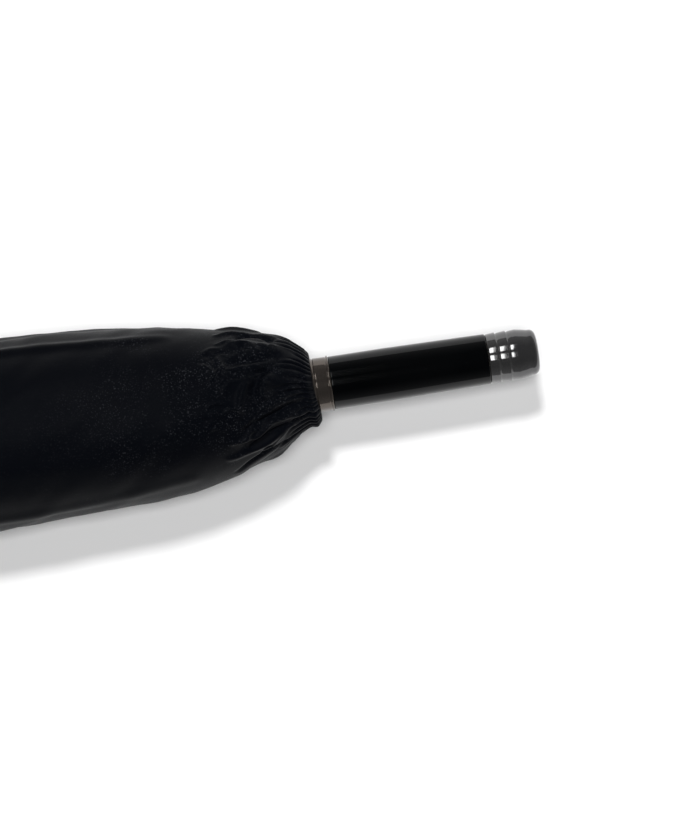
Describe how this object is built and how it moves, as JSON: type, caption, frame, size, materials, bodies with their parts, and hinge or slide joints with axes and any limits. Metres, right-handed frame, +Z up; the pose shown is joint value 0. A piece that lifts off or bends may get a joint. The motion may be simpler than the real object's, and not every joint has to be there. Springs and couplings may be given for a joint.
{
  "type": "golf umbrella",
  "caption": "Straight-shafted golf umbrella, folded inside a cloth sleeve with a gathered mouth, with a glossy round grip and grooved metal end cap.",
  "frame": {"origin": "centre of the footprint on the floor it lies on", "axes": "+X along the shaft to the handle's end, +Z up, +Y across"},
  "size_m": [0.96, 0.105, 0.0975],
  "materials": {
    "sleeve_cloth": "black satin polyester weave with a faint blue cast",
    "canopy_cloth": "black pongee umbrella cloth",
    "elastic_cord": "covered elastic",
    "grip_gloss": "high-gloss black lacquer",
    "core_plastic": "moulded plastic",
    "collar_metal": "warm gunmetal plating",
    "cap_metal": "dark chrome plating",
    "shaft_metal": "black painted steel tube",
    "stretcher_metal": "black painted steel channel",
    "rib_fibre": "black glass-fibre rod",
    "black_plastic": "black moulded nylon",
    "bright_wire": "bright steel"
  },
  "bodies": {
    "shaft": {"shaft_tube": "shaft_metal", "crown": "black_plastic", "crown_wire": "bright_wire", "canopy_washer": "shaft_metal", "ferrule": "shaft_metal", "ferrule_tip": "black_plastic", "grip_tube": "grip_gloss", "grip_core": "core_plastic", "collar_ring": "collar_metal", "end_cap": "cap_metal", "cap_screw": "bright_wire"},
    "runner": {"runner": "black_plastic", "runner_wire": "bright_wire"},
    "lower_catch": {"lower_catch": "bright_wire"},
    "upper_catch": {"upper_catch": "bright_wire"},
    "sleeve": {"sleeve": "sleeve_cloth", "sleeve_elastic": "elastic_cord"},
    "rib_1": {"rib_1": "rib_fibre", "rib_tip_1": "bright_wire", "rib_clip_1": "shaft_metal", "tie_strap": "canopy_cloth"},
    "stretcher_1": {"stretcher_1": "stretcher_metal"},
    "panel_1": {"canopy_panel_1": "canopy_cloth"},
    "rib_2": {"rib_2": "rib_fibre", "rib_tip_2": "bright_wire", "rib_clip_2": "shaft_metal"},
    "stretcher_2": {"stretcher_2": "stretcher_metal"},
    "panel_2": {"canopy_panel_2": "canopy_cloth"},
    "rib_3": {"rib_3": "rib_fibre", "rib_tip_3": "bright_wire", "rib_clip_3": "shaft_metal"},
    "stretcher_3": {"stretcher_3": "stretcher_metal"},
    "panel_3": {"canopy_panel_3": "canopy_cloth"},
    "rib_4": {"rib_4": "rib_fibre", "rib_tip_4": "bright_wire", "rib_clip_4": "shaft_metal"},
    "stretcher_4": {"stretcher_4": "stretcher_metal"},
    "panel_4": {"canopy_panel_4": "canopy_cloth"},
    "rib_5": {"rib_5": "rib_fibre", "rib_tip_5": "bright_wire", "rib_clip_5": "shaft_metal"},
    "stretcher_5": {"stretcher_5": "stretcher_metal"},
    "panel_5": {"canopy_panel_5": "canopy_cloth"},
    "rib_6": {"rib_6": "rib_fibre", "rib_tip_6": "bright_wire", "rib_clip_6": "shaft_metal"},
    "stretcher_6": {"stretcher_6": "stretcher_metal"},
    "panel_6": {"canopy_panel_6": "canopy_cloth"},
    "rib_7": {"rib_7": "rib_fibre", "rib_tip_7": "bright_wire", "rib_clip_7": "shaft_metal"},
    "stretcher_7": {"stretcher_7": "stretcher_metal"},
    "panel_7": {"canopy_panel_7": "canopy_cloth"},
    "rib_8": {"rib_8": "rib_fibre", "rib_tip_8": "bright_wire", "rib_clip_8": "shaft_metal"},
    "stretcher_8": {"stretcher_8": "stretcher_metal"},
    "panel_8": {"canopy_panel_8": "canopy_cloth"}
  },
  "joints": [
    {"name": "runner_slide", "type": "slide", "parent": "shaft", "child": "runner", "axis": [-1, 0, 0], "range_m": [0, 0.50374]},
    {"name": "sleeve_pull", "type": "slide", "parent": "shaft", "child": "sleeve", "axis": [-1, 0, 0], "range_m": [0, 0.9], "deforming": ["sleeve", "sleeve_elastic"]},
    {"name": "lower_catch_press", "type": "slide", "parent": "shaft", "child": "lower_catch", "axis": [0, 0, -1], "range_m": [0, 0.0032], "stiffness_N_per_m": 600, "springref_m": -0.002, "deforming": ["lower_catch"]},
    {"name": "upper_catch_press", "type": "slide", "parent": "shaft", "child": "upper_catch", "axis": [0, 0, -1], "range_m": [0, 0.0032], "stiffness_N_per_m": 600, "springref_m": -0.002, "deforming": ["upper_catch"]},
    {"name": "rib_1_hinge", "type": "hinge", "parent": "shaft", "child": "rib_1", "pos_m": [-0.412, 0, 0.057], "axis": [0, -1, 0], "range_deg": [0, 75], "deforming": ["tie_strap"]},
    {"name": "rib_2_hinge", "type": "hinge", "parent": "shaft", "child": "rib_2", "pos_m": [-0.412, -0.00848, 0.05348], "axis": [0, -0.7071, -0.7071], "range_deg": [0, 75]},
    {"name": "rib_3_hinge", "type": "hinge", "parent": "shaft", "child": "rib_3", "pos_m": [-0.412, -0.012, 0.045], "axis": [0, 0, -1], "range_deg": [0, 75]},
    {"name": "rib_4_hinge", "type": "hinge", "parent": "shaft", "child": "rib_4", "pos_m": [-0.412, -0.00848, 0.03651], "axis": [0, 0.7071, -0.7071], "range_deg": [0, 75]},
    {"name": "rib_5_hinge", "type": "hinge", "parent": "shaft", "child": "rib_5", "pos_m": [-0.412, 0, 0.033], "axis": [0, 1, 0], "range_deg": [0, 75]},
    {"name": "rib_6_hinge", "type": "hinge", "parent": "shaft", "child": "rib_6", "pos_m": [-0.412, 0.00848, 0.03651], "axis": [0, 0.7071, 0.7071], "range_deg": [0, 75]},
    {"name": "rib_7_hinge", "type": "hinge", "parent": "shaft", "child": "rib_7", "pos_m": [-0.412, 0.012, 0.045], "axis": [0, 0, 1], "range_deg": [0, 75]},
    {"name": "rib_8_hinge", "type": "hinge", "parent": "shaft", "child": "rib_8", "pos_m": [-0.412, 0.00848, 0.05348], "axis": [0, -0.7071, 0.7071], "range_deg": [0, 75]},
    {"name": "stretcher_1_hinge", "type": "hinge", "parent": "runner", "child": "stretcher_1", "pos_m": [0.25728, 0.0033, 0.057], "axis": [0, 1, 0], "range_deg": [0, 68.89]},
    {"name": "stretcher_2_hinge", "type": "hinge", "parent": "runner", "child": "stretcher_2", "pos_m": [0.25728, -0.00615, 0.05582], "axis": [0, 0.7071, 0.7071], "range_deg": [0, 68.89]},
    {"name": "stretcher_3_hinge", "type": "hinge", "parent": "runner", "child": "stretcher_3", "pos_m": [0.25728, -0.012, 0.0483], "axis": [0, 0, 1], "range_deg": [0, 68.89]},
    {"name": "stretcher_4_hinge", "type": "hinge", "parent": "runner", "child": "stretcher_4", "pos_m": [0.25728, -0.01082, 0.03885], "axis": [0, -0.7071, 0.7071], "range_deg": [0, 68.89]},
    {"name": "stretcher_5_hinge", "type": "hinge", "parent": "runner", "child": "stretcher_5", "pos_m": [0.25728, -0.0033, 0.033], "axis": [0, -1, 0], "range_deg": [0, 68.89]},
    {"name": "stretcher_6_hinge", "type": "hinge", "parent": "runner", "child": "stretcher_6", "pos_m": [0.25728, 0.00615, 0.03418], "axis": [0, -0.7071, -0.7071], "range_deg": [0, 68.89]},
    {"name": "stretcher_7_hinge", "type": "hinge", "parent": "runner", "child": "stretcher_7", "pos_m": [0.25728, 0.012, 0.0417], "axis": [0, 0, -1], "range_deg": [0, 68.89]},
    {"name": "stretcher_8_hinge", "type": "hinge", "parent": "runner", "child": "stretcher_8", "pos_m": [0.25728, 0.01082, 0.05115], "axis": [0, 0.7071, -0.7071], "range_deg": [0, 68.89]},
    {"name": "panel_1_spread", "type": "slide", "parent": "rib_1", "child": "panel_1", "axis": [-0.3696, -0.9239, -0.099], "range_m": [0, 0.5425], "deforming": ["canopy_panel_1"]},
    {"name": "panel_2_spread", "type": "slide", "parent": "rib_2", "child": "panel_2", "axis": [-0.3696, -0.5832, -0.7233], "range_m": [0, 0.5425], "deforming": ["canopy_panel_2"]},
    {"name": "panel_3_spread", "type": "slide", "parent": "rib_3", "child": "panel_3", "axis": [-0.3696, 0.099, -0.9239], "range_m": [0, 0.5425], "deforming": ["canopy_panel_3"]},
    {"name": "panel_4_spread", "type": "slide", "parent": "rib_4", "child": "panel_4", "axis": [-0.3696, 0.7233, -0.5832], "range_m": [0, 0.5425], "deforming": ["canopy_panel_4"]},
    {"name": "panel_5_spread", "type": "slide", "parent": "rib_5", "child": "panel_5", "axis": [-0.3696, 0.9239, 0.099], "range_m": [0, 0.5425], "deforming": ["canopy_panel_5"]},
    {"name": "panel_6_spread", "type": "slide", "parent": "rib_6", "child": "panel_6", "axis": [-0.3696, 0.5832, 0.7233], "range_m": [0, 0.5425], "deforming": ["canopy_panel_6"]},
    {"name": "panel_7_spread", "type": "slide", "parent": "rib_7", "child": "panel_7", "axis": [-0.3696, -0.099, 0.9239], "range_m": [0, 0.5425], "deforming": ["canopy_panel_7"]},
    {"name": "panel_8_spread", "type": "slide", "parent": "rib_8", "child": "panel_8", "axis": [-0.3696, -0.7233, 0.5832], "range_m": [0, 0.5425], "deforming": ["canopy_panel_8"]}
  ],
  "couplings": [
    {"joint": "rib_1_hinge", "follows": "runner_slide", "rad_per_m": 2.5983},
    {"joint": "rib_2_hinge", "follows": "runner_slide", "rad_per_m": 2.5983},
    {"joint": "rib_3_hinge", "follows": "runner_slide", "rad_per_m": 2.5983},
    {"joint": "rib_4_hinge", "follows": "runner_slide", "rad_per_m": 2.5983},
    {"joint": "rib_5_hinge", "follows": "runner_slide", "rad_per_m": 2.5983},
    {"joint": "rib_6_hinge", "follows": "runner_slide", "rad_per_m": 2.5983},
    {"joint": "rib_7_hinge", "follows": "runner_slide", "rad_per_m": 2.5983},
    {"joint": "rib_8_hinge", "follows": "runner_slide", "rad_per_m": 2.5983},
    {"joint": "stretcher_1_hinge", "follows": "runner_slide", "rad_per_m": 2.3866},
    {"joint": "stretcher_2_hinge", "follows": "runner_slide", "rad_per_m": 2.3866},
    {"joint": "stretcher_3_hinge", "follows": "runner_slide", "rad_per_m": 2.3866},
    {"joint": "stretcher_4_hinge", "follows": "runner_slide", "rad_per_m": 2.3866},
    {"joint": "stretcher_5_hinge", "follows": "runner_slide", "rad_per_m": 2.3866},
    {"joint": "stretcher_6_hinge", "follows": "runner_slide", "rad_per_m": 2.3866},
    {"joint": "stretcher_7_hinge", "follows": "runner_slide", "rad_per_m": 2.3866},
    {"joint": "stretcher_8_hinge", "follows": "runner_slide", "rad_per_m": 2.3866},
    {"joint": "panel_1_spread", "follows": "runner_slide", "ratio": 1.0768},
    {"joint": "panel_2_spread", "follows": "runner_slide", "ratio": 1.0768},
    {"joint": "panel_3_spread", "follows": "runner_slide", "ratio": 1.0768},
    {"joint": "panel_4_spread", "follows": "runner_slide", "ratio": 1.0768},
    {"joint": "panel_5_spread", "follows": "runner_slide", "ratio": 1.0768},
    {"joint": "panel_6_spread", "follows": "runner_slide", "ratio": 1.0768},
    {"joint": "panel_7_spread", "follows": "runner_slide", "ratio": 1.0768},
    {"joint": "panel_8_spread", "follows": "runner_slide", "ratio": 1.0768}
  ]
}
